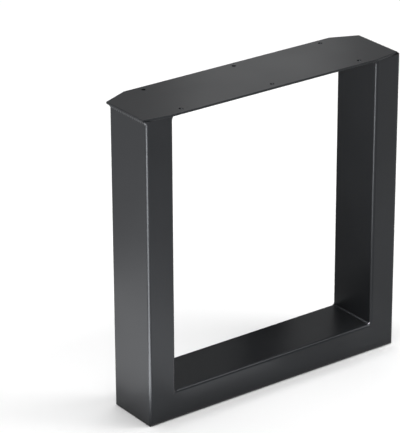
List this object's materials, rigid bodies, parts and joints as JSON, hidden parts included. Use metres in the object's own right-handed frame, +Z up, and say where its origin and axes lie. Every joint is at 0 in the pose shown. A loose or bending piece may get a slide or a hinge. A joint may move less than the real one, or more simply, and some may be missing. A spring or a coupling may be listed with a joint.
{
  "type": "u shaped table leg",
  "caption": "Closed frame leg of mitred rectangular steel tube with a flat drilled fixing plate across its top, for a bench or low table.",
  "frame": {"origin": "on the floor, under the middle of the tube frame", "axes": "+X along the floor bar from the left upright to the right one, +Y across the frame towards the side where the plate reaches further, +Z up to the plate"},
  "size_m": [0.404, 0.1, 0.42],
  "materials": {
    "coated_steel": "satin black powder coat on mild steel",
    "coated_weld": "satin black powder coat over a fillet weld"
  },
  "bodies": {
    "root": {"left_upright": "coated_steel", "right_upright": "coated_steel", "floor_bar": "coated_steel", "top_plate": "coated_steel", "left_plate_weld": "coated_weld", "right_plate_weld": "coated_weld", "left_end_weld": "coated_weld", "right_end_weld": "coated_weld", "left_corner_weld": "coated_weld", "right_corner_weld": "coated_weld"}
  },
  "joints": []
}
